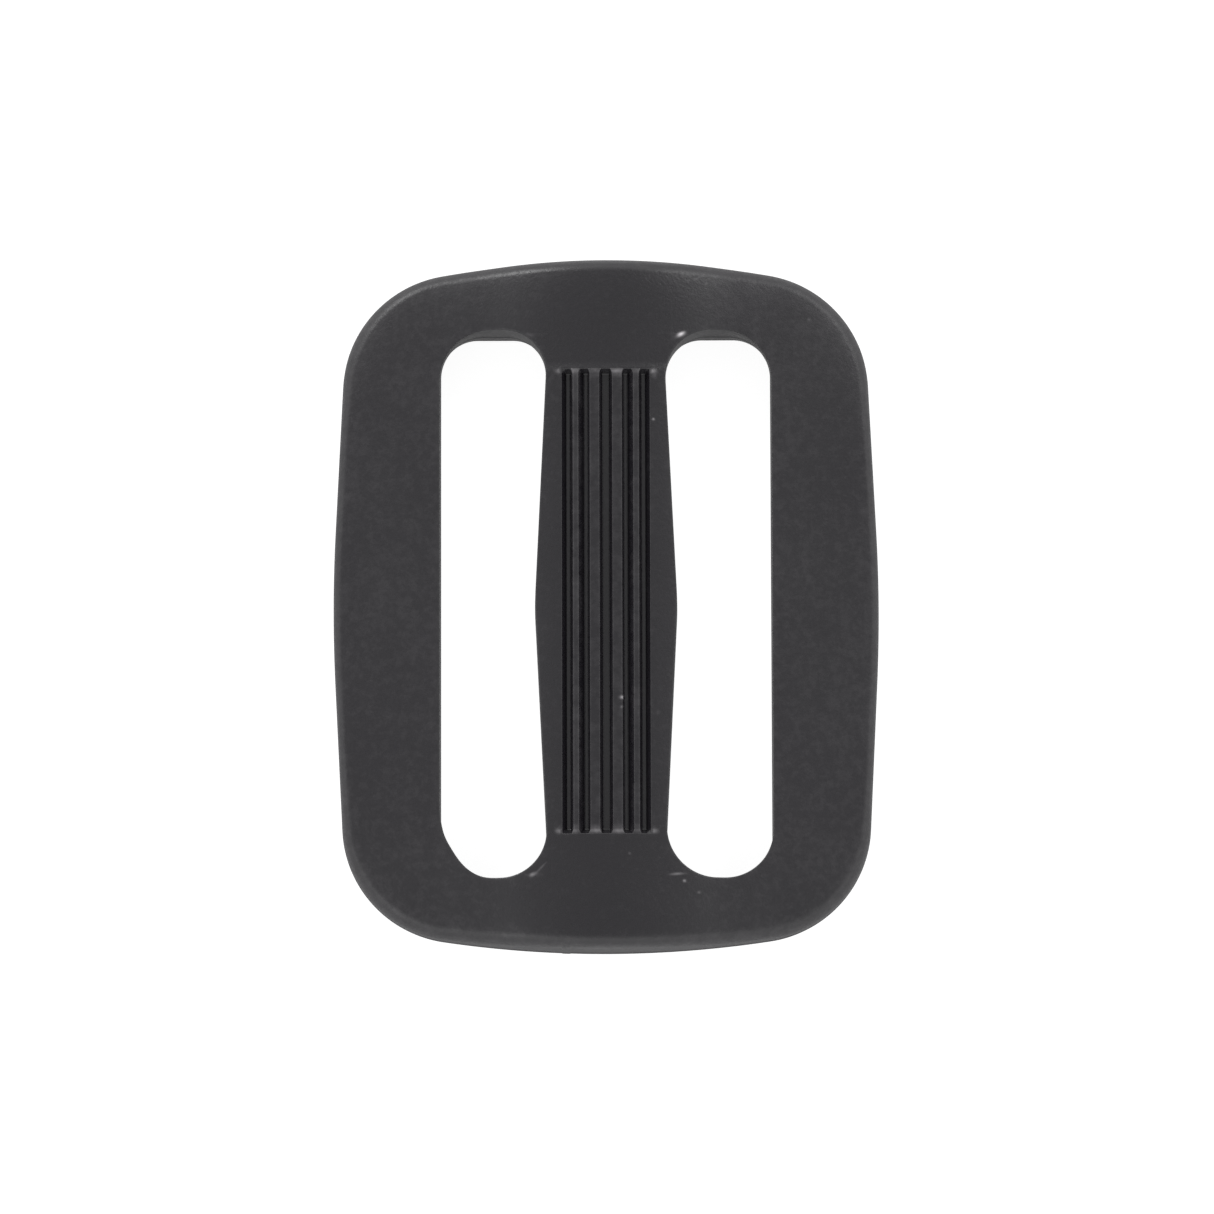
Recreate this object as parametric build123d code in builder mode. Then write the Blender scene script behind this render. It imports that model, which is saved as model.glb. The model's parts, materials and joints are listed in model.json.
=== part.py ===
from build123d import *
import os
from math import radians, sqrt, tan

# Buckle slider for 25 mm webbing: a flat moulded frame with two slots and a ribbed centre bar.
#
# The real slider is one injection moulding. It is drawn here as one moulding first, and that shape is
# then cut on flat planes into its members, which meet face to face: two side rails, two end bars and the
# centre bar. The four ribs of the grip stand in a shallow channel along the bar.
#
# Frame: the slider lies on its flat back at Z = 0 with its front up. The rails, slots, bar and ribs run
# along Y, the webbing runs across them along X, and the origin is under the centre of the part.

# Driving dimensions, in millimetres and degrees: the plan
webbing_width = 25.0
slot_clearance = 0.8
overall_length = 32.66
side_apex_half_width = 12.94
side_taper = 2.82
side_blend_radius = 73.0
corner_radius = 5.55
end_crown_radius = 52.0

# Slots, each between a rail's straight inner edge and the centre bar's tapering one
rail_inner_x = 7.79
bar_apex_half_width = 3.36
bar_blend_radius = 14.0
back_slot_corner = 1.5
front_slot_corner = 2.15
front_corner_height = 2.6

# Heights above the flat back. The front is flat along the rails and arches up across the middle
parting_height = 1.2
rail_thickness = 3.0
centre_thickness = 4.4
arch_half_width = 8.5
arch_convex_share = 0.55
wall_draft = 2.0

# Edges
front_edge_radius = 0.5
back_edge_radius = 0.4
slot_edge_radius = 0.2

# Grip: a shallow channel along the bar, and ribs that stand in it as high as the bar. Each rib's two
# faces lean by different amounts from crest to foot, the one towards the middle of the bar more
grip_half_length = 10.95
channel_depth = 0.42
channel_half_width = 2.075
inner_rib = {"x": 0.53, "width": 0.455, "middle_lean": 0.13, "outer_lean": 0.07}
outer_rib = {"x": 1.425, "width": 0.25, "middle_lean": 0.27, "outer_lean": 0.1}
channel_lean = 0.22
beyond = 0.15

# Members are parted here, and ejector pins leave round marks on the back
member_cut_y = 11.7
ejector_mark_radius = 1.1
ejector_mark_depth = 0.06
ejector_mark_x = 10.2
ejector_mark_y = 7.5

# Worked out from the above
half_length = overall_length / 2
slot_end_y = (webbing_width + slot_clearance) / 2
slot_middle_x = (rail_inner_x + bar_apex_half_width) / 2
taper_slope = tan(radians(side_taper))
arch_drop = centre_thickness - rail_thickness
junction_x = arch_convex_share * arch_half_width
junction_drop = arch_convex_share * arch_drop
crown_radius = (junction_x**2 + junction_drop**2) / (2 * junction_drop)
clear_height = 2 * centre_thickness


def crown_height(x, lift):
    """Height of the arch's convex part at X, moved up by `lift`."""
    return centre_thickness + lift - crown_radius + sqrt(crown_radius**2 - x**2)


def draw_outline(inset):
    """The plan outline, drawn in by `inset`: four tapering sides and two bowed ends, corners rounded."""
    apex_x = side_apex_half_width - inset
    end_y = half_length - inset
    crown_y = end_y - end_crown_radius
    lean = apex_x * taper_slope + crown_y
    spread = 1 + taper_slope**2
    corner_y = (lean + sqrt(lean**2 - spread * (apex_x**2 + crown_y**2 - end_crown_radius**2))) / spread
    corner_x = apex_x - taper_slope * corner_y
    with BuildLine() as border:
        ThreePointArc((-corner_x, corner_y), (0, end_y), (corner_x, corner_y))
        Polyline((corner_x, corner_y), (apex_x, 0), (corner_x, -corner_y))
        ThreePointArc((corner_x, -corner_y), (0, -end_y), (-corner_x, -corner_y))
        Polyline((-corner_x, -corner_y), (-apex_x, 0), (-corner_x, corner_y))
    plan = make_face(border.edges())
    lower, middle, upper = plan.vertices().group_by(Axis.Y)
    plan = fillet(lower + upper, corner_radius - inset)
    fillet(plan.vertices().filter_by_position(Axis.Y, -0.01, 0.01), side_blend_radius)


def draw_slot(side, end_radius):
    """One slot's plan on the given side: straight along the rail and tapering along the centre bar."""
    rail_x = side * rail_inner_x
    apex_x = side * bar_apex_half_width
    bar_x = side * (bar_apex_half_width - taper_slope * slot_end_y)
    with BuildLine() as border:
        Polyline((rail_x, slot_end_y), (rail_x, -slot_end_y), (bar_x, -slot_end_y), (apex_x, 0))
        Polyline((apex_x, 0), (bar_x, slot_end_y), (rail_x, slot_end_y))
    plan = make_face(border.edges())
    lower, middle, upper = plan.vertices().group_by(Axis.Y)
    plan = fillet(lower + upper, end_radius)
    fillet(plan.vertices().filter_by_position(Axis.Y, -0.01, 0.01), bar_blend_radius)


def draw_arch():
    """The section across the slider: flat back, flat rails and an arch of two curves on each side."""
    reach = 2 * side_apex_half_width
    for side in (1, -1):
        top = (0, centre_thickness)
        junction = (side * junction_x, centre_thickness - junction_drop)
        foot = (side * arch_half_width, rail_thickness)
        with BuildLine() as border:
            convex = TangentArc(top, junction, tangent=(side, 0))
            TangentArc(junction, foot, tangent=convex % 1)
            Polyline(foot, (side * reach, rail_thickness), (side * reach, 0), (0, 0), top)
        make_face(border.edges())


def draw_channel():
    """The channel's section, up past the crown. Its floor follows the arch and its walls lean out."""
    floor_x = channel_half_width - channel_lean
    floor_z = crown_height(floor_x, -channel_depth)
    top_x = channel_half_width + beyond * channel_lean
    top_z = crown_height(channel_half_width, beyond * channel_depth)
    with BuildLine() as border:
        ThreePointArc((-floor_x, floor_z), (0, centre_thickness - channel_depth), (floor_x, floor_z))
        Polyline((floor_x, floor_z), (top_x, top_z), (top_x, clear_height), (-top_x, clear_height))
        Polyline((-top_x, clear_height), (-top_x, top_z), (-floor_x, floor_z))
    make_face(border.edges())


def draw_rib(side, size):
    """One rib's section on the given side of the bar, from under the channel's floor to above the crown."""
    middle_x = size["x"] - size["width"] / 2
    outer_x = size["x"] + size["width"] / 2
    crest_z = crown_height(size["x"], beyond * channel_depth)
    foot_z = crown_height(size["x"], -(1 + beyond) * channel_depth)
    section = (
        (middle_x - (1 + beyond) * size["middle_lean"], foot_z),
        (middle_x + beyond * size["middle_lean"], crest_z),
        (outer_x - beyond * size["outer_lean"], crest_z),
        (outer_x + (1 + beyond) * size["outer_lean"], foot_z),
    )
    with BuildLine() as border:
        Polyline([(side * x, z) for x, z in section], close=True)
    make_face(border.edges())


def lowest(shape):
    """Height of the lowest point of a face or an edge."""
    return shape.bounding_box().min.Z


def is_outer_front_wall(face):
    """True for the outer walls in front of the parting plane."""
    return abs(lowest(face) - parting_height) < 0.01


def is_slot_front_wall(face):
    """True for the front part of the slots' walls, above the height where their corners stop changing."""
    return abs(lowest(face) - front_corner_height) < 0.01


def export(part, name):
    """Label a finished member and write it to its own file."""
    part.label = name
    export_step(part, f"parts/{name}.step")


os.makedirs("parts", exist_ok=True)

# The whole moulding, with the grip's channel still to be cut
front_inset = (centre_thickness - parting_height) * tan(radians(wall_draft))
back_inset = parting_height * tan(radians(wall_draft))
with BuildPart() as moulding:
    with BuildSketch(Plane.XY) as back_outline:
        draw_outline(back_inset)
    with BuildSketch(Plane.XY.offset(parting_height)) as parting_outline:
        draw_outline(0)
    with BuildSketch(Plane.XY.offset(centre_thickness)) as front_outline:
        draw_outline(front_inset)
    loft([back_outline.sketch.face(), parting_outline.sketch.face()], ruled=True)
    loft([parting_outline.sketch.face(), front_outline.sketch.face()], ruled=True)
    with BuildSketch(Plane.XZ) as arch:
        draw_arch()
    extrude(arch.sketch, amount=overall_length, both=True, mode=Mode.INTERSECT)

    # Rounded outer edges, front and back
    outer_walls = moulding.faces().filter_by(is_outer_front_wall)
    rim = outer_walls.edges().filter_by(lambda edge: lowest(edge) > rail_thickness - 0.01)
    fillet(rim, front_edge_radius)
    fillet(moulding.faces().sort_by(Axis.Z)[0].edges(), back_edge_radius)

    # Slots, tighter in their corners at the back than at the front, with rounded edges all round
    for side in (1, -1):
        with BuildSketch(Plane.XY) as slot_back:
            draw_slot(side, back_slot_corner)
        with BuildSketch(Plane.XY.offset(front_corner_height)) as slot_front:
            draw_slot(side, front_slot_corner)
        loft([slot_back.sketch.face(), slot_front.sketch.face()], ruled=True, mode=Mode.SUBTRACT)
        extrude(slot_front.sketch, amount=centre_thickness, mode=Mode.SUBTRACT)
    slot_walls = moulding.faces().filter_by(is_slot_front_wall)
    fillet(slot_walls.edges().filter_by(lambda edge: lowest(edge) > rail_thickness - 0.01), slot_edge_radius)
    back = moulding.faces().sort_by(Axis.Z)[0]
    fillet(back.inner_wires().edges(), slot_edge_radius)

    # Marks of the ejector pins on the back of the rails
    with GridLocations(2 * ejector_mark_x, 2 * ejector_mark_y, 2, 2):
        Cylinder(ejector_mark_radius, 2 * ejector_mark_depth, mode=Mode.SUBTRACT)

# The channel along the grip, which the ribs stand in
with BuildPart() as channel:
    with BuildSketch(Plane.XZ) as channel_section:
        draw_channel()
    extrude(channel_section.sketch, amount=grip_half_length, both=True)

# Members of the frame
end_reach = half_length - member_cut_y
rail_reach = side_apex_half_width - slot_middle_x
on_floor = (Align.CENTER, Align.CENTER, Align.MIN)

for name, side in (("right_rail", 1), ("left_rail", -1)):
    with BuildPart() as rail:
        with Locations((side * (slot_middle_x + rail_reach / 2), 0)):
            Box(rail_reach, 2 * member_cut_y, clear_height, align=on_floor)
        add(moulding.part, mode=Mode.INTERSECT)
    export(rail.part, name)

for name, side in (("upper_end_bar", 1), ("lower_end_bar", -1)):
    with BuildPart() as end_bar:
        with Locations((0, side * (member_cut_y + end_reach / 2))):
            Box(2 * side_apex_half_width, end_reach, clear_height, align=on_floor)
        add(moulding.part, mode=Mode.INTERSECT)
    export(end_bar.part, name)

with BuildPart() as centre_bar:
    Box(2 * slot_middle_x, 2 * member_cut_y, clear_height, align=on_floor)
    add(moulding.part, mode=Mode.INTERSECT)
    add(channel.part, mode=Mode.SUBTRACT)
    export(centre_bar.part, "centre_bar")

# Ribs of the grip, from left to right
ribs = ((-1, outer_rib), (-1, inner_rib), (1, inner_rib), (1, outer_rib))
for number, (side, size) in enumerate(ribs, start=1):
    with BuildPart() as rib:
        with BuildSketch(Plane.XZ) as rib_section:
            draw_rib(side, size)
        extrude(rib_section.sketch, amount=grip_half_length, both=True)
        add(channel.part, mode=Mode.INTERSECT)
        add(moulding.part, mode=Mode.INTERSECT)
    export(rib.part, f"grip_rib_{number}")
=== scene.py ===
import bpy
import bmesh
import json
import math
import numpy as np
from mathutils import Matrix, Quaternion, Vector, geometry, kdtree


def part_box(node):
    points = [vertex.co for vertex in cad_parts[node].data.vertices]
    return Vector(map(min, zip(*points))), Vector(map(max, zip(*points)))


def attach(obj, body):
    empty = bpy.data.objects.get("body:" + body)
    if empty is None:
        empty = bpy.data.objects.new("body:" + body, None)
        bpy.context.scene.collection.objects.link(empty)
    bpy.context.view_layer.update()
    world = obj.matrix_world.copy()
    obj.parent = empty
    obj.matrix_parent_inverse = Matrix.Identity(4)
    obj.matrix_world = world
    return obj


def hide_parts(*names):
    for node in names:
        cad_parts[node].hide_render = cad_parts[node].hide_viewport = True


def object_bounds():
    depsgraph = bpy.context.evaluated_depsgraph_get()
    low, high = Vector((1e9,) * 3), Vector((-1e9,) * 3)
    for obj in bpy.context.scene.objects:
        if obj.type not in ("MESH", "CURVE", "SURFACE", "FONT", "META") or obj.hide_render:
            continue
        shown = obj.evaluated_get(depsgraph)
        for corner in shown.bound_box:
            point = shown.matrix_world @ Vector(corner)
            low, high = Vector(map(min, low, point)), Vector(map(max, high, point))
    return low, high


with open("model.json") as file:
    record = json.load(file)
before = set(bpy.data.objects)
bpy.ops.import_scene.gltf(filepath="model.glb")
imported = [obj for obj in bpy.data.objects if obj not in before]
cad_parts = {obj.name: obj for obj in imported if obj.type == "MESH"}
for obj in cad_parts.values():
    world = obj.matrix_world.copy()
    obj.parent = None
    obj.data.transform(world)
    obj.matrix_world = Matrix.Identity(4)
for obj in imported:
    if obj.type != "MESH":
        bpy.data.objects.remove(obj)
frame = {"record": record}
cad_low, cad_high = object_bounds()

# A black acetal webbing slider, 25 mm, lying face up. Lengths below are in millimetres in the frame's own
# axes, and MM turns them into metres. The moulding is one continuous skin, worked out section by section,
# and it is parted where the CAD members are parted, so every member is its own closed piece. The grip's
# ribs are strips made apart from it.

MM = 0.001
scene = bpy.context.scene
record = frame["record"]
slot_mount = next(mount for mount in record["mounts"] if mount["name"] == "right_slot")

# ------------------------------------------------------------------ sizes, in millimetres
HALF_LENGTH = cad_high.y / MM
FULL_HEIGHT = cad_high.z / MM
CUT_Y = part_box("right_rail")[1].y / MM
SLOT_END_Y = slot_mount["dims"]["slot_length_mm"] / 2

SIDE_TAPER = math.radians(2.82)  # the sides, and the bar's sides too, lean in by this much to both ends
SIDE_BLEND = 73.0           # radius of the sides' rounded middle
# Where the straight halves of a side would meet
SIDE_APEX_X = cad_high.x / MM + SIDE_BLEND * (1 / math.cos(SIDE_TAPER) - 1)
CORNER = 5.55               # radius of the outline's corners
END_CROWN = 52.0            # radius of its bowed ends
RAIL_INNER_X = 7.79
BAR_APEX_X = 3.36           # where the straight halves of the bar's side would meet
BAR_BLEND = 14.0            # radius of its rounded middle
SLOT_CORNER_BACK = 1.7      # radii of the slots' corners
SLOT_CORNER_FRONT = 2.3
LEFT_BAR_CORNER_LESS = 0.17  # the left slot's corners at the bar are this much tighter
SLOT_CORNER_Z = 2.6         # the slots' corners have their front radius from this height up

RAIL_HEIGHT = 3.0
ARCH_REACH = 8.5            # the arch meets the flat rails here
ARCH_CONVEX = 0.55          # this share of its reach is convex, and the rest is concave
RAIL_FALL = 0.035           # the rails fall away slightly towards the outside
CORNER_FALL = 0.07          # and the corners more so
FALL_FROM = 0.8             # the fall starts at this share of the arch's reach
END_FROM = 7.0              # the rails' shape turns into the ends' between these two lengths
END_FULL = 14.0
END_ROUND_FULL = 15.0       # the outer edge has the ends' rounding from here
PAD_STEP = 0.07             # the grip stands this much above the end bars
PAD_STEP_FROM = 10.8
PAD_STEP_TO = 11.3
WITNESS_LINES = (12.6, -12.83)  # witness lines of the mould's insert start at the bar's roots here
WITNESS_FROM = 2.3
WITNESS_TO = 3.7
WITNESS_HEIGHT = 0.012
WITNESS_WIDTH = 0.07
WITNESS_FADE = 0.2
# painted highlight along the witness lines, growing towards their outer ends
WITNESS_HIGHLIGHT = 0.8
TIP_Y = 10.82               # the crests of the grip end in small raised tips, painted bright as a highlight
TIP_HEIGHT = 0.02
TIP_LENGTH = 0.1
TIP_FLARE = 0.09
TIP_REACH = 0.11            # how far along the ribs the tips flare
# The tips' x, half width and how much painted highlight they carry
TIPS = ((0.53, 0.24, 10.0), (1.425, 0.15, 10.0), (2.2, 0.16, 8.0))
NICK_HEIGHT = 0.03
# how strongly nicks are painted lighter: scuffing and a painted glint
NICK_SCUFF_AND_GLINT = 30
# Nicks and specks: x, y, half length, half width, direction in degrees, how bright they are painted (scuffed
# lighter, with a painted glint)
NICKS = ((3.54, 12.62, 0.19, 0.075, 28.0, 1.0), (-3.62, 12.5, 0.28, 0.13, 145.0, 0.06),
         (3.2, 12.4, 0.3, 0.12, 40.0, 0.05), (-3.45, -12.82, 0.15, 0.08, 30.0, 0.3),
         (-3.05, -12.5, 0.3, 0.05, 45.0, 0.1), (3.28, -12.81, 0.3, 0.05, 6.0, 0.18),
         (3.62, -13.13, 0.07, 0.06, 0.0, 0.4), (4.29, -13.66, 0.08, 0.06, 0.0, 0.2),
         (1.06, -11.87, 0.06, 0.06, 0.0, 0.13), (2.24, 8.55, 0.06, 0.055, 0.0, 0.32),
         (9.6, 13.5, 0.07, 0.06, 0.0, 0.16), (4.3, 15.3, 0.12, 0.06, 20.0, 0.07),
         (4.75, 15.1, 0.08, 0.05, 70.0, 0.08), (3.9, 15.2, 0.07, 0.05, 110.0, 0.06),
         (0.79, -4.57, 0.13, 0.075, 0.0, 0.9), (0.72, -5.03, 0.07, 0.06, 0.0, 0.12),
         (2.42, -5.27, 0.17, 0.11, 60.0, 0.03))

ROLL_SIDE = (1.2, 0.12)     # the face rolls off near the outline: how far in, and its slope at the edge
ROLL_END = (3.4, 0.22)

GATE_X = -1.91              # the gate's vestige on the near end
GATE_HALF_WIDTH = 0.22
GATE_HEIGHT = 0.028
GATE_EDGE = 0.05            # its sides slope over this width
GATE_ZONE = 0.3             # the outline has closer points this far either side of it
GATE_FROM_Z = 0.8           # it stands between these heights of the wall
GATE_TO_Z = 2.9

CORNER_FILL = 0.34          # the left slot's near outer corner is this much fuller than the others
CORNER_FILL_FROM = -24.0    # the angles round that corner where it starts, is fullest and ends
CORNER_FILL_AT = 31.0
CORNER_FILL_TO = 98.0

PARTING_Z = 1.2             # height of the mould's parting line
DRAFT = math.tan(math.radians(2.0))
FLASH = 0.02                # the outer wall's flash stands out this far
FLASH_REACH = 0.05          # the flash starts this far above and below the parting line
FLASH_CREST = 0.008
SLOT_DRAFT = 0.4 * DRAFT    # the slots have less draft, and less flash
SLOT_FLASH = 0.012
SLOT_MIDDLE_Z = 1.7
SLOT_UPPER_Z = 2.4          # the slots' draft is taken at these heights for the upper wall and the front edge
SLOT_EDGE_Z = 3.2
BACK_ROUND = 0.4
RAIL_FRONT_ROUND = 0.4
END_FRONT_ROUND = 0.62
SLOT_FRONT_ROUND = 0.07
SLOT_BACK_ROUND = 0.2

CHANNEL_X = 2.075           # half width and half length of the grip's channel, at the front
CHANNEL_Y = 10.95
CHANNEL_DEPTH = 0.42
CHANNEL_LEAN = 0.22         # how far its walls lean in
RIB_SIZES = ((1.425, 0.25, 0.27, 0.10), (0.53, 0.455, 0.13, 0.07))  # x, width, lean to the middle, lean out
RIB_WEAR_AND_HIGHLIGHT = (1.0, 0.6, 0.6, 0.7)  # how much the ribs' edges are rubbed and painted with highlight, from left to right
RIB_ROUND = 0.05
# A rib's end, from its tip inwards: how far past the channel's end, and how deep it sinks there
RIB_ENDS = ((0.12, 0.05), (0.03, 0.012), (-0.02, 0.004), (-0.07, 0.0), (-0.12, 0.0), (-0.18, 0.0))
RIB_INNER_END = 0.24        # beyond the end, even spacing starts this far inside the channel
SPECK_SPACING = 0.03        # spacing of a rib's closer points near a speck

EJECTOR_MARKS = [(x, y) for x in (-10.2, 10.2) for y in (-7.5, 7.5)]
EJECTOR_RADIUS = 1.1
EJECTOR_DEPTH = 0.06

GRID = 0.36                 # spacing of the faces' inner points
GRID_CLEAR = 0.62           # share of the spacing that they keep from any other point
DETAIL_EDGE = 3.9           # closer points for small shapes reach this far from the middle
DETAIL_MERGE = 0.03         # of the closer points in a square of this size, one is kept
CHANNEL_CLEAR = 0.12        # they keep this far from the channel, and from the slots' edges
EDGE_CLEAR = 0.07


# ------------------------------------------------------------------ camera
def make_camera():
    """Looks down at the front from the near end, a few degrees off square, as the slider was seen."""
    data = bpy.data.cameras.new("camera")
    camera = bpy.data.objects.new("camera", data)
    scene.collection.objects.link(camera)
    distance, elevation = 350.0, math.radians(83.0)
    frame_side = 57.13
    target = Vector((0.04, -0.02, 1.8)) * MM
    back = Vector((0.0, -math.cos(elevation), math.sin(elevation)))
    camera.location = target + back * distance * MM
    camera.rotation_mode = "QUATERNION"
    roll = Quaternion((0.0, 0.0, 1.0), math.radians(-0.15))
    camera.rotation_quaternion = (-back).to_track_quat("-Z", "Y") @ roll
    data.sensor_width = 36.0
    data.lens = data.sensor_width * distance / frame_side
    data.clip_start, data.clip_end = 0.01, 10.0
    scene.camera = camera


# ------------------------------------------------------------------ plan curves
def arc(centre, radius, start, end, count):
    """Points of an arc with the direction at each of them, without its last point."""
    turn = np.linspace(start, end, count, endpoint=False)
    normal = np.stack([np.cos(turn), np.sin(turn)], 1)
    return np.array(centre) + radius * normal, normal


def straight(start, end, angle, count):
    """Points of a straight run that faces `angle`, without its last point."""
    share = np.linspace(0.0, 1.0, count, endpoint=False)[:, None]
    normal = np.tile([math.cos(angle), math.sin(angle)], (count, 1))
    return np.array(start) * (1 - share) + np.array(end) * share, normal


def joined(parts):
    points, normals = zip(*parts)
    return np.concatenate(points), np.concatenate(normals)


def mirrored(curve, x_sign, y_sign):
    """A quarter of a closed curve carried to another quarter, keeping the way round."""
    points, normals = curve
    signs = np.array([x_sign, y_sign])
    points, normals = points * signs, normals * signs
    if x_sign * y_sign < 0:
        points, normals = points[::-1], normals[::-1]
    return points, normals


def corner_centre():
    """Centre of the upper right corner's arc, and the angle where it meets the end's crown."""
    side = np.array([math.cos(SIDE_TAPER), math.sin(SIDE_TAPER)])
    along = np.array([-side[1], side[0]])
    crown_centre = np.array([0.0, HALF_LENGTH - END_CROWN])
    start = side * (SIDE_APEX_X * side[0] - CORNER)
    to_start = start - crown_centre
    reach = to_start @ along
    run = -reach + math.sqrt(reach**2 - to_start @ to_start + (END_CROWN - CORNER) ** 2)
    corner = start + along * run
    return corner, math.atan2(*(corner - crown_centre)[::-1])


def outline():
    """The outer outline, anticlockwise, with the direction that faces out at each point."""
    slope = SIDE_TAPER
    side_x = cad_high.x / MM
    side = np.array([math.cos(slope), math.sin(slope)])
    crown_centre = (0.0, HALF_LENGTH - END_CROWN)
    corner, turn = corner_centre()
    blend_end = np.array([side_x - SIDE_BLEND, 0.0]) + SIDE_BLEND * side
    gate_from, gate_to = (math.acos((abs(GATE_X) + out) / END_CROWN) for out in (GATE_ZONE, -GATE_ZONE))
    quarter = joined([
        arc((side_x - SIDE_BLEND, 0.0), SIDE_BLEND, 0.0, slope, 14),
        straight(blend_end, corner + CORNER * side, slope, 40),
        arc(corner, CORNER, slope, turn, 56),
        arc(crown_centre, END_CROWN, turn, gate_from, 30),
        arc(crown_centre, END_CROWN, gate_from, gate_to, 16),
        arc(crown_centre, END_CROWN, gate_to, math.pi / 2, 9),
    ])
    crest = (np.array([[0.0, HALF_LENGTH]]), np.array([[0.0, 1.0]]))
    upper_left = mirrored(quarter, -1, 1)
    lower_left = mirrored(quarter, -1, -1)
    lower_right = mirrored(quarter, 1, -1)
    foot = mirrored(crest, 1, -1)
    left = (upper_left[0][:-1], upper_left[1][:-1])
    right = (lower_right[0][:-1], lower_right[1][:-1])
    return joined([quarter, crest, upper_left, (lower_left[0][1:], lower_left[1][1:]), foot, right])


def slot_curve(side, corner):
    """One slot's edge for a given corner radius, with the direction that faces into the plastic."""
    slope = SIDE_TAPER
    end_y, cosine = SLOT_END_Y, math.cos(SIDE_TAPER)
    rail_corner = (RAIL_INNER_X - corner, end_y - corner)
    bar_radius = corner - (LEFT_BAR_CORNER_LESS if side < 0 else 0.0)
    bar_corner_y = end_y - bar_radius
    bar_corner = (BAR_APEX_X + (bar_radius - bar_corner_y * math.sin(slope)) / cosine, bar_corner_y)
    bar_face = math.pi + slope
    bar_start = np.array(bar_corner) + bar_radius * np.array([math.cos(bar_face), math.sin(bar_face)])
    blend_x = BAR_APEX_X - BAR_BLEND / cosine
    blend_end = np.array([blend_x, 0.0]) + BAR_BLEND * np.array([cosine, math.sin(slope)])
    upper = joined([
        straight((RAIL_INNER_X, 0.0), (RAIL_INNER_X, rail_corner[1]), 0.0, 56),
        arc(rail_corner, corner, 0.0, math.pi / 2, 26),
        straight((rail_corner[0], end_y), (bar_corner[0], end_y), math.pi / 2, 5),
        arc(bar_corner, bar_radius, math.pi / 2, bar_face, 26),
        straight(bar_start, blend_end, bar_face, 44),
    ])
    blend = arc((blend_x, 0.0), BAR_BLEND, slope, 0.0, 12)
    upper = joined([upper, (blend[0], -blend[1])])
    apex = (np.array([[blend_x + BAR_BLEND, 0.0]]), np.array([[-1.0, 0.0]]))
    lower = mirrored(upper, 1, -1)
    whole = joined([upper, apex, (lower[0][:-1], lower[1][:-1])])
    if side < 0:
        points, normals = whole[0] * [-1, 1], whole[1] * [-1, 1]
        turn = np.arctan2(-points[:, 1] - rail_corner[1], -points[:, 0] - rail_corner[0])
        turn = np.degrees(turn)
        rise = smooth(CORNER_FILL_FROM, CORNER_FILL_AT, turn)
        fall = smooth(CORNER_FILL_AT, CORNER_FILL_TO, turn)
        fuller = CORNER_FILL * rise * (1 - fall) * (points[:, 1] < 0)
        points = points - normals * fuller[:, None]
        whole = (points[::-1], normals[::-1])
    return whole


# ------------------------------------------------------------------ heights
def smooth(low, high, value):
    share = np.clip((value - low) / (high - low), 0.0, 1.0)
    return share * share * (3 - 2 * share)


def arch(x):
    """The arch across the slider, from 1 at the middle to 0 at the rails: two arcs that meet smoothly."""
    drop = FULL_HEIGHT - RAIL_HEIGHT
    meet = ARCH_CONVEX * ARCH_REACH
    top_radius = (meet**2 + (ARCH_CONVEX * drop) ** 2) / (2 * ARCH_CONVEX * drop)
    foot_radius = top_radius * (1 - ARCH_CONVEX) / ARCH_CONVEX
    x = np.minimum(np.abs(x), ARCH_REACH)
    near = drop - top_radius + np.sqrt(top_radius**2 - np.minimum(x, meet) ** 2)
    far = foot_radius - np.sqrt(foot_radius**2 - np.minimum(ARCH_REACH - x, ARCH_REACH - meet) ** 2)
    return np.where(x < meet, near, far) / drop


def from_outline(x, y):
    """Distance from the outer outline, measured inwards."""
    x, y = np.abs(x), np.abs(y)
    (corner_x, corner_y), turn = corner_centre()
    to_side = (SIDE_APEX_X - x - math.tan(SIDE_TAPER) * y) * math.cos(SIDE_TAPER)
    to_end = END_CROWN - np.hypot(x, y + END_CROWN - HALF_LENGTH)
    angle = np.arctan2(y - corner_y, x - corner_x)
    in_corner = (angle > SIDE_TAPER) & (angle < turn)
    return np.where(in_corner, CORNER - np.hypot(x - corner_x, y - corner_y), np.minimum(to_side, to_end))


def marks(x, y):
    """Small raised marks on the front, as (height, how much rubbing and painted highlight they carry)."""
    height, rubbed_and_highlight = 0.0 * x * y, 0.0 * x * y
    beyond = smooth(WITNESS_TO, WITNESS_TO + WITNESS_FADE, np.abs(x))
    across = smooth(WITNESS_FROM, WITNESS_TO, np.abs(x)) * (1 - beyond)
    for line_y in WITNESS_LINES:
        ridge = across * np.exp(-(((y - line_y) / WITNESS_WIDTH) ** 2))
        height, rubbed_and_highlight = height + WITNESS_HEIGHT * ridge, rubbed_and_highlight + WITNESS_HIGHLIGHT * ridge
    for nick_x, nick_y, length, width, direction, bright in NICKS:
        cosine, sine = math.cos(math.radians(direction)), math.sin(math.radians(direction))
        along = ((x - nick_x) * cosine + (y - nick_y) * sine) / length
        aside = ((y - nick_y) * cosine - (x - nick_x) * sine) / width
        nick = np.exp(-(along**2) - aside**2)
        height, rubbed_and_highlight = height + NICK_HEIGHT * bright * nick, rubbed_and_highlight + NICK_SCUFF_AND_GLINT * bright * nick
    for tip_x, tip_width, bright in TIPS:
        tip = np.exp(-(((np.abs(x) - tip_x) / tip_width) ** 2) - ((np.abs(y) - TIP_Y) / TIP_LENGTH) ** 2)
        height, rubbed_and_highlight = height + TIP_HEIGHT * tip, rubbed_and_highlight + bright * tip
    return height, rubbed_and_highlight


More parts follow.
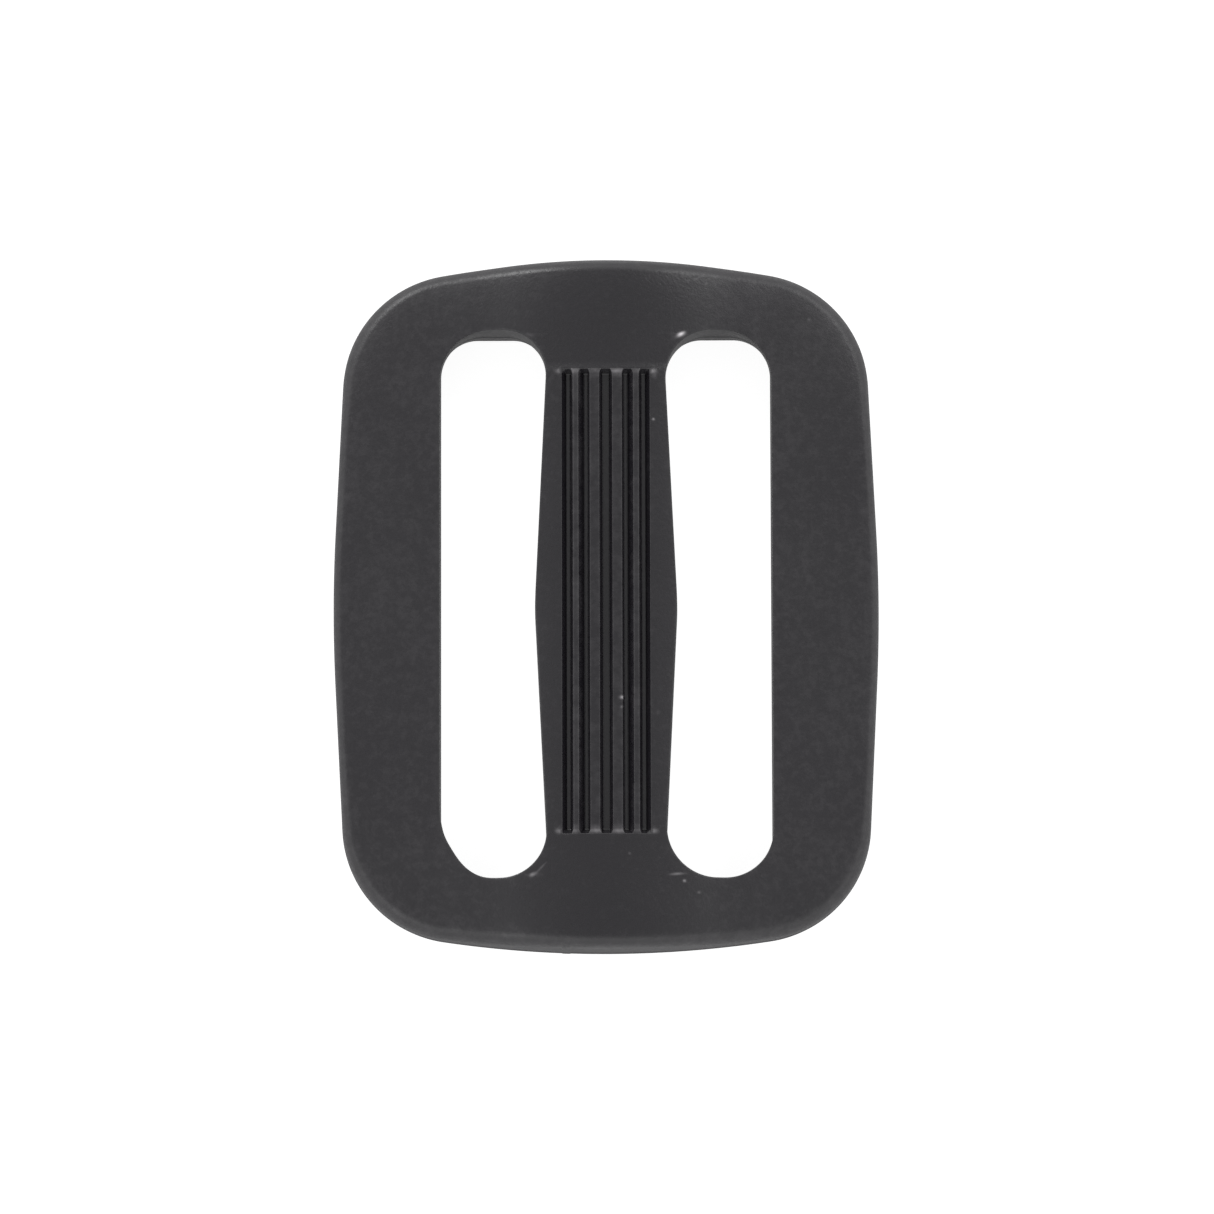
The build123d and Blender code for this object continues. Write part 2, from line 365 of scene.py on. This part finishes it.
def front_height(x, y):
    """Height of the front surface before its edges are rounded."""
    step = PAD_STEP * smooth(PAD_STEP_FROM, PAD_STEP_TO, np.abs(y))
    share = smooth(END_FROM, END_FULL, np.abs(y))
    outside = np.maximum(np.abs(x) - FALL_FROM * ARCH_REACH, 0.0)
    fall = (RAIL_FALL + (CORNER_FALL - RAIL_FALL) * share) * outside
    reach, slope = ((1 - share) * side + share * end for side, end in zip(ROLL_SIDE, ROLL_END))
    roll = slope / (3 * reach**2) * np.maximum(reach - from_outline(x, y), 0.0) ** 3
    height = RAIL_HEIGHT + (FULL_HEIGHT - RAIL_HEIGHT - step) * arch(x) - fall - roll + marks(x, y)[0]
    return np.minimum(height, FULL_HEIGHT - 0.001)


def front_round(y):
    """Radius of the outer front edge, tight along the rails and softer round the ends."""
    share = smooth(END_FROM, END_ROUND_FULL, np.abs(y))
    return RAIL_FRONT_ROUND + (END_FRONT_ROUND - RAIL_FRONT_ROUND) * share


# ------------------------------------------------------------------ the moulding's skin
class Skin:
    """Collects points and faces. Each point's rubbing value is 1 where an edge rubs, and it also carries
    painted highlight; `wall` is 1 on an upright wall.
    """

    def __init__(self):
        self.points, self.wear, self.wall, self.faces, self.count = [], [], [], [], 0

    def add(self, xy, z, wear=0.0, wall=0.0):
        """Adds a row of points and returns their numbers."""
        z = np.broadcast_to(z, len(xy))
        self.points.append(np.column_stack([xy, z]))
        self.wear.append(np.broadcast_to(wear, len(xy)))
        self.wall.append(np.broadcast_to(wall, len(xy)))
        numbers = np.arange(self.count, self.count + len(xy))
        self.count += len(xy)
        return numbers

    def band(self, low, high, flip=False):
        """Four-sided faces between two closed rows of the same length."""
        low_next, high_next = np.roll(low, -1), np.roll(high, -1)
        quads = np.stack([low, low_next, high_next, high], 1)
        self.faces += [tuple(q) for q in (quads[:, ::-1] if flip else quads).tolist()]


def rounding(count):
    """(share across, share up) of a quarter-round edge, from its wall to its face."""
    turn = np.linspace(0.0, math.pi / 2, count)
    return list(zip(1 - np.cos(turn), np.sin(turn)))


def outer_wall(skin):
    """The outer wall from the back's edge to the front's. Returns the two rows that the faces meet."""
    points, normals = outline()
    from_gate = np.abs(points[:, 0] - GATE_X)
    at_gate = (1 - smooth(GATE_HALF_WIDTH - GATE_EDGE, GATE_HALF_WIDTH, from_gate)) * (points[:, 1] < 0)
    first, last = None, None

    def row(inset, height, wear, wall=1.0):
        nonlocal last
        on_gate = (GATE_FROM_Z < np.mean(height)) & (np.mean(height) < GATE_TO_Z)
        inset = np.broadcast_to(inset, len(points)) - GATE_HEIGHT * at_gate * on_gate
        numbers = skin.add(points - normals * inset[:, None], height, wear, wall)
        if last is not None:
            skin.band(last, numbers)
        last = numbers
        return numbers

    def wall_inset(z):
        return FLASH + DRAFT * np.abs(z - PARTING_Z)

    for across, up in reversed(rounding(8)):
        numbers = row(wall_inset(BACK_ROUND) + BACK_ROUND * across, BACK_ROUND * (1 - up), 0.5)
        first = numbers if first is None else first
    for z in (0.6, 0.85, PARTING_Z - FLASH_REACH):
        row(wall_inset(z), z, 0.0)
    row(wall_inset(PARTING_Z - 0.4 * FLASH_REACH) - 0.3 * FLASH, PARTING_Z - 0.5 * FLASH_REACH, 0.0)
    row(0.0, PARTING_Z - FLASH_CREST, 1.0)
    row(0.0, PARTING_Z + FLASH_CREST, 1.0)
    row(wall_inset(PARTING_Z) - 0.3 * FLASH, PARTING_Z + 0.5 * FLASH_REACH, 0.0)
    row(wall_inset(PARTING_Z + FLASH_REACH), PARTING_Z + FLASH_REACH, 0.0)
    radius = front_round(points[:, 1])
    shoulder = front_height(points[:, 0], points[:, 1]) - radius
    for share in (0.25, 0.5, 0.75):
        z = PARTING_Z + share * (shoulder - PARTING_Z)
        row(wall_inset(z), z, 0.0)
    for across, up in rounding(12):
        inset = wall_inset(shoulder) + radius * across
        at = points - normals * inset[:, None]
        height = front_height(at[:, 0], at[:, 1]) - radius * (1 - up)
        # the front rounding is marked lighter: rubbing, and a painted highlight along the edge
        row(inset, height, 0.3 * math.sin(math.pi * up) + 0.1 * up, 1 - up)
    return first, last


def slot_wall(skin, side):
    """A slot's wall from its back edge to its front edge. Returns the two rows that the faces meet."""
    first, last = None, None

    def row(offset, z, wear):
        nonlocal last
        share = np.clip(np.mean(z) / SLOT_CORNER_Z, 0.0, 1.0)
        points, normals = slot_curve(side, SLOT_CORNER_BACK + share * (SLOT_CORNER_FRONT - SLOT_CORNER_BACK))
        numbers = skin.add(points + normals * offset, z, wear, 1.0)
        if last is not None:
            skin.band(last, numbers, flip=True)
        last = numbers
        return numbers

    def draft(z):
        return SLOT_DRAFT * abs(z - PARTING_Z)

    for across, up in reversed(rounding(7)):
        offset = draft(SLOT_BACK_ROUND) + SLOT_BACK_ROUND * across
        numbers = row(offset, SLOT_BACK_ROUND * (1 - up), 0.4)
        first = numbers if first is None else first
    for z in (0.6, PARTING_Z - 0.04):
        row(draft(z), z, 0.0)
    for z in (PARTING_Z - 0.01, PARTING_Z + 0.01):
        row(-SLOT_FLASH, z, 0.0)
    for z in (PARTING_Z + 0.04, SLOT_MIDDLE_Z):
        row(draft(z), z, 0.0)

    points, normals = slot_curve(side, SLOT_CORNER_FRONT)
    edge = points + normals * SLOT_FRONT_ROUND
    shoulder = front_height(edge[:, 0], edge[:, 1]) - SLOT_FRONT_ROUND
    for share in (0.4, 0.7):
        z = SLOT_MIDDLE_Z + share * (shoulder - SLOT_MIDDLE_Z)
        row(draft(SLOT_UPPER_Z), z, 0.0)
    for across, up in rounding(9):
        offset = draft(SLOT_EDGE_Z) + SLOT_FRONT_ROUND * across
        at = points + normals * offset
        z = front_height(at[:, 0], at[:, 1]) - SLOT_FRONT_ROUND * (1 - up)
        numbers = skin.add(at, z, 0.2 * up, 1 - up)
        skin.band(last, numbers, flip=True)
        last = numbers
    return first, last


def inside(points, ring):
    """Which points lie inside a closed ring."""
    ax, ay = ring[:, 0], ring[:, 1]
    bx, by = np.roll(ax, -1), np.roll(ay, -1)
    x, y = points[:, 0, None], points[:, 1, None]
    crosses = (ay > y) != (by > y)
    reach = (bx - ax) * (y - ay) / np.where(by == ay, 1.0, by - ay) + ax
    return (crosses & (x < reach)).sum(1) % 2 == 1


def fill(skin, outer, holes, extra, height, facing):
    """Triangles between an outer ring and its holes, over a grid that carries the surface's shape."""
    def ring_xy(numbers):
        return np.concatenate(skin.points)[numbers][:, :2]

    rings = [ring_xy(outer)] + [ring_xy(hole) for hole in holes]
    border = np.concatenate(rings)
    tree = kdtree.KDTree(len(border) + len(extra))
    for number, (x, y) in enumerate([*border, *extra]):
        tree.insert((x, y, 0.0), number)
    tree.balance()
    low, high = rings[0].min(0), rings[0].max(0)
    xs, ys = np.arange(low[0], high[0], GRID), np.arange(low[1], high[1], GRID)
    grid = np.array([(x + 0.5 * GRID * (row % 2), y) for row, y in enumerate(ys) for x in xs])
    near = np.array([tree.find((x, y, 0.0))[2] for x, y in grid])
    keep = (near > GRID_CLEAR * GRID) & inside(grid, rings[0])
    for ring in rings[1:]:
        keep &= ~inside(grid, ring)
    free = np.concatenate([grid[keep], extra]) if len(extra) else grid[keep]
    rubbed_and_highlight = marks(free[:, 0], free[:, 1])[1] if facing > 0 else 0.0
    numbers = skin.add(free, height(free[:, 0], free[:, 1]), rubbed_and_highlight)
    lookup = np.concatenate([outer, *holes, numbers])
    edges, at = [], 0
    for ring in rings:
        edges += [(at + i, at + (i + 1) % len(ring)) for i in range(len(ring))]
        at += len(ring)
    xy = np.concatenate([border, free])
    found = geometry.delaunay_2d_cdt([Vector(p) for p in xy], edges, [], 0, 1e-7)
    vertices, triangles, origin = found[0], found[2], found[3]
    middle = np.array([np.mean([vertices[i] for i in t], axis=0) for t in triangles])
    wanted = inside(middle, rings[0])
    for ring in rings[1:]:
        wanted &= ~inside(middle, ring)
    for triangle, good in zip(triangles, wanted):
        if good:
            face = tuple(int(lookup[origin[i][0]]) for i in triangle)
            skin.faces.append(face if facing > 0 else face[::-1])


def lean_profile(lean):
    """A groove's face from its rounded crest edge to its floor: (outward, depth, rubbing with painted
    highlight).
    """
    def eased(before, corner, after, wear):
        return [((1 - t) ** 2 * before[0] + 2 * t * (1 - t) * corner[0] + t * t * after[0],
                 (1 - t) ** 2 * before[1] + 2 * t * (1 - t) * corner[1] + t * t * after[1], wear)
                for t in np.linspace(0.0, 1.0, 6)]

    run = RIB_ROUND / math.hypot(lean, CHANNEL_DEPTH)
    on_face = (run * lean, run * CHANNEL_DEPTH)
    off_face = (lean - on_face[0], CHANNEL_DEPTH - on_face[1])
    crest = eased((-RIB_ROUND, 0.0), (0.0, 0.0), on_face, 1.0)
    foot = eased(off_face, (lean, CHANNEL_DEPTH), (lean + RIB_ROUND, CHANNEL_DEPTH), 0.0)
    return crest + foot


def channel(skin):
    """The channel that the ribs stand in, with leaning walls and rounded edges. Returns its rim."""
    profile = lean_profile(CHANNEL_LEAN)
    insets = [out + RIB_ROUND for out, depth, wear in profile]
    depths = [depth for out, depth, wear in profile]
    half_x, half_y = CHANNEL_X + RIB_ROUND, CHANNEL_Y + RIB_ROUND
    inner_x = np.linspace(-half_x + insets[-1], half_x - insets[-1], 30)
    inner_y = np.linspace(-half_y + insets[-1], half_y - insets[-1], 110)
    xs = np.concatenate([[-half_x + i for i in insets[:-1]], inner_x, [half_x - i for i in insets[-2::-1]]])
    ys = np.concatenate([[-half_y + i for i in insets[:-1]], inner_y, [half_y - i for i in insets[-2::-1]]])
    x, y = np.meshgrid(xs, ys)
    inset = np.minimum(half_x - np.abs(x), half_y - np.abs(y))
    z = front_height(x, y) - np.interp(inset, insets, depths)
    # the channel's rim is marked lighter: rubbing, and painted highlight
    worn_and_highlight = np.where(inset < 1.3 * RIB_ROUND, 0.2 + 0.6 * marks(x, y)[1], 0.0)
    numbers = skin.add(np.column_stack([x.ravel(), y.ravel()]), z.ravel(), worn_and_highlight.ravel()).reshape(x.shape)
    quads = np.stack([numbers[:-1, :-1], numbers[:-1, 1:], numbers[1:, 1:], numbers[1:, :-1]], -1)
    skin.faces += [tuple(q) for q in quads.reshape(-1, 4).tolist()]
    return np.concatenate([numbers[0, :-1], numbers[:-1, -1], numbers[-1, :0:-1], numbers[:0:-1, 0]])


def ejector_mark(skin, x, y):
    """A shallow round mark in the back. Returns its rim."""
    turn = np.linspace(0.0, 2 * math.pi, 64, endpoint=False)
    circle = np.stack([np.cos(turn), np.sin(turn)], 1)
    centre = np.array([x, y])
    rows = [skin.add(centre + circle * (EJECTOR_RADIUS + out), z, wear) for out, z, wear in (
        (0.06, 0.0, 0.0), (0.03, 0.004, 0.6), (0.0, EJECTOR_DEPTH * 0.8, 0.0), (-0.04, EJECTOR_DEPTH, 0.0))]
    for low, high in zip(rows, rows[1:]):
        skin.band(low, high, flip=True)
    middle = skin.add(centre[None, :], EJECTOR_DEPTH)[0]
    last = rows[-1].tolist()
    for one, two in zip(last, last[1:] + last[:1]):
        skin.faces.append((two, one, int(middle)))
    return rows[0]


def detail_points():
    """Closer points for the front's small shapes: the pad's step, the nicks and the witness lines."""
    rows = [sign * y for sign in (1, -1) for y in np.arange(PAD_STEP_FROM - 0.06, PAD_STEP_TO + 0.1, 0.05)]
    details = [(x, y) for y in rows for x in np.arange(-DETAIL_EDGE, DETAIL_EDGE + 0.01, 0.1)]
    for nick_x, nick_y, length, width, direction, bright in NICKS:
        cosine, sine = math.cos(math.radians(direction)), math.sin(math.radians(direction))
        details += [(nick_x + along * cosine - aside * sine, nick_y + along * sine + aside * cosine)
                    for along in length * np.arange(-2.1, 2.11, 0.3)
                    for aside in width * np.arange(-2.1, 2.11, 0.42)]
    for y in WITNESS_LINES:
        details += [(sign * x, y + WITNESS_WIDTH * share) for sign in (1, -1)
                    for x in np.arange(WITNESS_FROM - 0.1, DETAIL_EDGE + 0.01, 0.08)
                    for share in (-2.2, -1.4, -0.7, 0.0, 0.7, 1.4, 2.2)]
    details = {(round(x / DETAIL_MERGE), round(y / DETAIL_MERGE)): (x, y) for x, y in details}.values()
    edge_x, edge_y = CHANNEL_X + CHANNEL_CLEAR, CHANNEL_Y + CHANNEL_CLEAR
    return np.array([(x, y) for x, y in details if abs(x) > edge_x or abs(y) > edge_y])


def moulding():
    """The whole frame and bar as one closed skin."""
    skin = Skin()
    outer_back, outer_front = outer_wall(skin)
    slots = [slot_wall(skin, side) for side in (1, -1)]
    rim = channel(skin)
    details = detail_points()
    for back, front in slots:
        ring = np.concatenate(skin.points)[front][:, :2]
        gap = np.array([np.min(np.hypot(*(ring - point).T)) for point in details])
        details = details[(gap > EDGE_CLEAR) & ~inside(details, ring)]
    fill(skin, outer_front, [front for back, front in slots] + [rim], details, front_height, 1)
    pits = [ejector_mark(skin, x, y) for x, y in EJECTOR_MARKS]
    fill(skin, outer_back, [back for back, front in slots] + pits, np.zeros((0, 2)), lambda x, y: 0.0 * x, -1)
    return skin


def member_of(middle):
    """The CAD member that a face belongs to, from its middle in millimetres."""
    x, y = middle.x, middle.y
    if abs(y) > CUT_Y:
        return "upper_end_bar" if y > 0 else "lower_end_bar"
    if abs(x) < (RAIL_INNER_X + BAR_APEX_X) / 2:
        return "centre_bar"
    return "right_rail" if x > 0 else "left_rail"


def whole_mesh():
    """The whole moulding as one mesh, cut where the CAD is parted."""
    skin = moulding()
    whole = bmesh.new()
    wear_layer = whole.verts.layers.float.new("wear")
    wall_layer = whole.verts.layers.float.new("wall")
    for point, wear, wall in zip(*(np.concatenate(rows) for rows in (skin.points, skin.wear, skin.wall))):
        vertex = whole.verts.new(point)
        vertex[wear_layer], vertex[wall_layer] = wear, wall
    whole.verts.ensure_lookup_table()
    for face in skin.faces:
        whole.faces.new([whole.verts[i] for i in face])
    bmesh.ops.recalc_face_normals(whole, faces=whole.faces)
    for y in (CUT_Y, -CUT_Y):
        geom = whole.verts[:] + whole.edges[:] + whole.faces[:]
        bmesh.ops.bisect_plane(whole, geom=geom, dist=1e-6, plane_co=(0, y, 0), plane_no=(0, 1, 0))
    whole.normal_update()
    whole.verts.index_update()
    return whole


def make_member(whole, name, faces, material):
    """One member as a closed piece: its own faces, flat caps where it is parted, and the whole's shading."""
    wear_from, wall_from = whole.verts.layers.float["wear"], whole.verts.layers.float["wall"]
    part = bmesh.new()
    wear, wall = part.verts.layers.float.new("wear"), part.verts.layers.float.new("wall")
    made, shading = {}, {}
    for face in faces:
        for vertex in face.verts:
            if vertex.index not in made:
                copy = part.verts.new(vertex.co * MM)
                copy[wear], copy[wall] = vertex[wear_from], vertex[wall_from]
                made[vertex.index] = copy
                shading[copy] = vertex.normal.copy()
        part.faces.new([made[vertex.index] for vertex in face.verts]).smooth = True
    open_edges = [edge for edge in part.edges if edge.is_boundary]
    caps = bmesh.ops.holes_fill(part, edges=open_edges, sides=0)["faces"]
    bmesh.ops.recalc_face_normals(part, faces=caps)
    for cap in caps:
        cap.smooth = False
        cap.normal_update()
    part.verts.index_update()
    order = {copy.index: normal for copy, normal in shading.items()}
    loops = []
    for face in part.faces:
        for corner in face.verts:
            loops.append(tuple(order[corner.index]) if face.smooth else tuple(face.normal))
    finish_piece(part, f"{name}_skin", material, loops, name)


def make_members(material):
    """Every member of the moulding, each from the faces that lie in it."""
    whole = whole_mesh()
    groups = {}
    for face in whole.faces:
        groups.setdefault(member_of(face.calc_center_median()), []).append(face)
    for name, faces in sorted(groups.items()):
        make_member(whole, name, faces, material)
    whole.free()


def finish_piece(mesh_in_hand, name, material, loops, node):
    """Turns a bmesh into an object that rides on the slider's one body and stands for a CAD node."""
    mesh = bpy.data.meshes.new(name)
    mesh_in_hand.to_mesh(mesh)
    mesh_in_hand.free()
    if loops:
        mesh.normals_split_custom_set(loops)
    piece = bpy.data.objects.new(name, mesh)
    scene.collection.objects.link(piece)
    mesh.materials.append(material)
    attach(piece, "root")
    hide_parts(node)


# ------------------------------------------------------------------ ribs
def rib_section(width, left_lean, right_lean):
    """A rib's section from its left foot over its crest: (x from its middle, depth below the crest, rubbing
    with painted highlight).
    """
    foot = CHANNEL_DEPTH + 0.02
    left = [(-width / 2 - out, depth, wear) for out, depth, wear in reversed(lean_profile(left_lean))]
    right = [(width / 2 + out, depth, wear) for out, depth, wear in lean_profile(right_lean)]
    crest = [(share * (width / 2 - RIB_ROUND), 0.0, 0.7) for share in (-0.5, 0.0, 0.5)]
    return [(left[0][0], foot, 0.0)] + left + crest + right + [(right[-1][0], foot, 0.0)]


def make_rib(number, x, section, rubbed_and_highlight, material):
    """One rib of the grip, a closed strip that follows the crown and runs into both end walls."""
    inner = np.linspace(-CHANNEL_Y + RIB_INNER_END, CHANNEL_Y - RIB_INNER_END, 90)
    specks = [nick[1] for nick in NICKS if abs(nick[0]) < CHANNEL_X and abs(nick[1]) < CHANNEL_Y]
    inner = np.unique(np.concatenate([inner] + [y + SPECK_SPACING * np.arange(-6, 7) for y in specks]))
    ends = [(CHANNEL_Y + past, sunk) for past, sunk in RIB_ENDS]
    stations = [(-y, sunk) for y, sunk in ends] + [(y, 0.0) for y in inner] + ends[::-1]
    part = bmesh.new()
    layer = part.verts.layers.float.new("wear")
    rows = []
    for y, sunk in stations:
        row = []
        flare = TIP_FLARE * math.exp(-(((abs(y) - CHANNEL_Y) / TIP_REACH) ** 2))
        for across, depth, wear in section:
            at = x + across + math.copysign(flare, across) * (depth < CHANNEL_DEPTH / 2)
            vertex = part.verts.new(Vector((at, y, float(front_height(at, y)) - depth - sunk)) * MM)
            vertex[layer] = wear * (rubbed_and_highlight + float(marks(at, y)[1]))
            row.append(vertex)
        rows.append(row)
    for low, high in zip(rows, rows[1:]):
        for i in range(len(section)):
            j = (i + 1) % len(section)
            part.faces.new([low[i], low[j], high[j], high[i]]).smooth = True
    part.faces.new(rows[0][::-1])
    part.faces.new(rows[-1])
    bmesh.ops.recalc_face_normals(part, faces=part.faces)
    finish_piece(part, f"grip_rib_{number}_skin", material, None, f"grip_rib_{number}")


def make_ribs(material):
    """The four ribs, from left to right."""
    outer, inner = RIB_SIZES
    ribs = zip((-1, -1, 1, 1), (outer, inner, inner, outer), RIB_WEAR_AND_HIGHLIGHT)
    for number, (side, (x, width, lean_in, lean_out), rubbed_and_highlight) in enumerate(ribs, start=1):
        leans = (lean_out, lean_in) if side < 0 else (lean_in, lean_out)
        make_rib(number, side * x, rib_section(width, *leans), rubbed_and_highlight, material)


# ------------------------------------------------------------------ material
BLACK = (0.0078, 0.0069, 0.0090, 1.0)
# light grey mixed in where edges rub and where highlights are painted
RUBBED_AND_HIGHLIGHT = (0.50, 0.48, 0.50, 1.0)


def black_acetal():
    """Satin black moulded acetal: a fine spark-eroded grain, faint flow marks, lighter edges where they rub,
    painted highlights on edges, tips and nicks, and painted shade darkening the crown.
    """
    material = bpy.data.materials.new("black_acetal")
    material.use_nodes = True
    nodes, links = material.node_tree.nodes, material.node_tree.links
    shader = nodes["Principled BSDF"]
    place = nodes.new("ShaderNodeTexCoord").outputs["Object"]

    def noise(scale, detail, roughness=0.5):
        node = nodes.new("ShaderNodeTexNoise")
        node.inputs["Scale"].default_value = scale
        node.inputs["Detail"].default_value = detail
        node.inputs["Roughness"].default_value = roughness
        links.new(place, node.inputs["Vector"])
        return node.outputs["Fac"]

    def spread(value, low, high, to_low, to_high):
        node = nodes.new("ShaderNodeMapRange")
        node.inputs["From Min"].default_value = low
        node.inputs["From Max"].default_value = high
        node.inputs["To Min"].default_value = to_low
        node.inputs["To Max"].default_value = to_high
        links.new(value, node.inputs["Value"])
        return node.outputs["Result"]

    def combine(operation, one, two):
        node = nodes.new("ShaderNodeMath")
        node.operation = operation
        for socket, value in zip(node.inputs, (one, two)):
            if isinstance(value, float):
                socket.default_value = value
            else:
                links.new(value, socket)
        return node.outputs[0]

    def attribute(name):
        node = nodes.new("ShaderNodeAttribute")
        node.attribute_name = name
        return node.outputs["Fac"]

    grain = noise(7000.0, 2.0, 0.6)
    mottle = noise(2600.0, 3.0, 0.7)
    cloud = noise(260.0, 4.0)
    # edges, ribs, tips and nicks are painted lighter: partly rubbing, partly painted highlight and glint
    worn_and_highlight = combine("MULTIPLY", attribute("wear"), spread(noise(1500.0, 4.0), 0.35, 0.65, 0.3, 1.0))
    height = nodes.new("ShaderNodeSeparateXYZ")
    links.new(place, height.inputs[0])
    crown = spread(height.outputs["Z"], RAIL_HEIGHT * MM, FULL_HEIGHT * MM, 0.0, 1.0)

    speckle_and_crown_shade = spread(mottle, 0.35, 0.65, -0.0075, 0.0115)
    speckle_and_crown_shade = combine("ADD", speckle_and_crown_shade, spread(cloud, 0.3, 0.7, -0.002, 0.004))
    tint = nodes.new("ShaderNodeMix")
    tint.data_type = "RGBA"
    tint.inputs["A"].default_value = BLACK
    tint.inputs["B"].default_value = RUBBED_AND_HIGHLIGHT
    # painted shade: the base colour is made darker towards the top of the crown
    speckle_and_crown_shade = combine("SUBTRACT", speckle_and_crown_shade, combine("MULTIPLY", crown, 0.009))
    links.new(combine("ADD", speckle_and_crown_shade, combine("MULTIPLY", worn_and_highlight, 0.035)), tint.inputs["Factor"])
    links.new(tint.outputs["Result"], shader.inputs["Base Color"])
    rough = combine("ADD", spread(cloud, 0.3, 0.7, 0.38, 0.43), spread(grain, 0.3, 0.7, -0.05, 0.05))
    rough = combine("SUBTRACT", rough, combine("MULTIPLY", crown, 0.13))
    rough = combine("ADD", rough, combine("MULTIPLY", attribute("wall"), 0.30))
    links.new(rough, shader.inputs["Roughness"])
    shader.inputs["IOR"].default_value = 1.48
    shader.inputs["Specular IOR Level"].default_value = 0.5

    bump = nodes.new("ShaderNodeBump")
    bump.inputs["Strength"].default_value = 0.6
    bump.inputs["Distance"].default_value = 0.00002
    links.new(grain, bump.inputs["Height"])
    links.new(bump.outputs["Normal"], shader.inputs["Normal"])
    return material


# ------------------------------------------------------------------ stage
# Brightness of the light tent by the sine of the elevation: pale walls, and a dimmer patch overhead
TENT = ((0.0, 0.9), (0.1, 1.3), (0.3, 1.8), (0.5, 1.7), (0.7, 1.15), (0.8, 0.88), (0.87, 0.81), (0.94, 0.77),
        (0.985, 0.73), (0.999, 0.65))


def make_stage():
    """A plain pale floor, clear from below so that the back can be looked at, and soft studio light."""
    half, floor_z = 3.0, -0.02 * MM
    mesh = bpy.data.meshes.new("floor")
    corners = [(x * half, y * half, floor_z) for x, y in ((-1, -1), (1, -1), (1, 1), (-1, 1))]
    mesh.from_pydata(corners, [], [(0, 1, 2, 3)])
    floor = bpy.data.objects.new("floor", mesh)
    scene.collection.objects.link(floor)
    material = bpy.data.materials.new("pale_floor")
    material.use_nodes = True
    shader = material.node_tree.nodes["Principled BSDF"]
    shader.inputs["Base Color"].default_value = (0.25, 0.25, 0.25, 1.0)
    shader.inputs["Roughness"].default_value = 0.9
    shader.inputs["Specular IOR Level"].default_value = 0.1
    shader.inputs["Emission Color"].default_value = (1.0, 1.0, 1.0, 1.0)
    shader.inputs["Emission Strength"].default_value = 0.9
    nodes, links = material.node_tree.nodes, material.node_tree.links
    sides = nodes.new("ShaderNodeMixShader")
    links.new(nodes.new("ShaderNodeNewGeometry").outputs["Backfacing"], sides.inputs[0])
    links.new(shader.outputs["BSDF"], sides.inputs[1])
    links.new(nodes.new("ShaderNodeBsdfTransparent").outputs["BSDF"], sides.inputs[2])
    links.new(sides.outputs["Shader"], nodes["Material Output"].inputs["Surface"])
    mesh.materials.append(material)

    world = bpy.data.worlds.new("studio")
    world.use_nodes = True
    nodes, links = world.node_tree.nodes, world.node_tree.links
    split = nodes.new("ShaderNodeSeparateXYZ")
    links.new(nodes.new("ShaderNodeTexCoord").outputs["Generated"], split.inputs[0])
    ramp = nodes.new("ShaderNodeValToRGB").color_ramp
    for place, level in TENT:
        element = ramp.elements[0] if place == 0.0 else ramp.elements.new(place)
        element.color = (level, level, level, 1.0)
    ramp.elements.remove(ramp.elements[-1])
    shade = nodes["Color Ramp"]
    links.new(split.outputs["Z"], shade.inputs["Fac"])
    links.new(shade.outputs["Color"], nodes["Background"].inputs["Color"])
    nodes["Background"].inputs["Strength"].default_value = 1.0
    scene.world = world

    def softbox(name, place, size, power):
        data = bpy.data.lights.new(name, "AREA")
        data.shape = "RECTANGLE"
        data.size, data.size_y = size
        data.energy = power
        light = bpy.data.objects.new(name, data)
        light.location = place
        light.rotation_mode = "QUATERNION"
        light.rotation_quaternion = (-Vector(place)).to_track_quat("-Z", "Y")
        scene.collection.objects.link(light)

    softbox("left_softbox", (-0.40, 0.64, 0.38), (0.25, 0.25), 2.2)
    softbox("near_softbox", (-0.50, -0.50, 0.45), (0.35, 0.35), 0.5)
    softbox("right_softbox", (0.46, 0.52, 0.50), (0.35, 0.35), 1.3)
    scene.view_settings.view_transform = "Standard"


make_camera()
acetal = black_acetal()
make_members(acetal)
make_ribs(acetal)
make_stage()
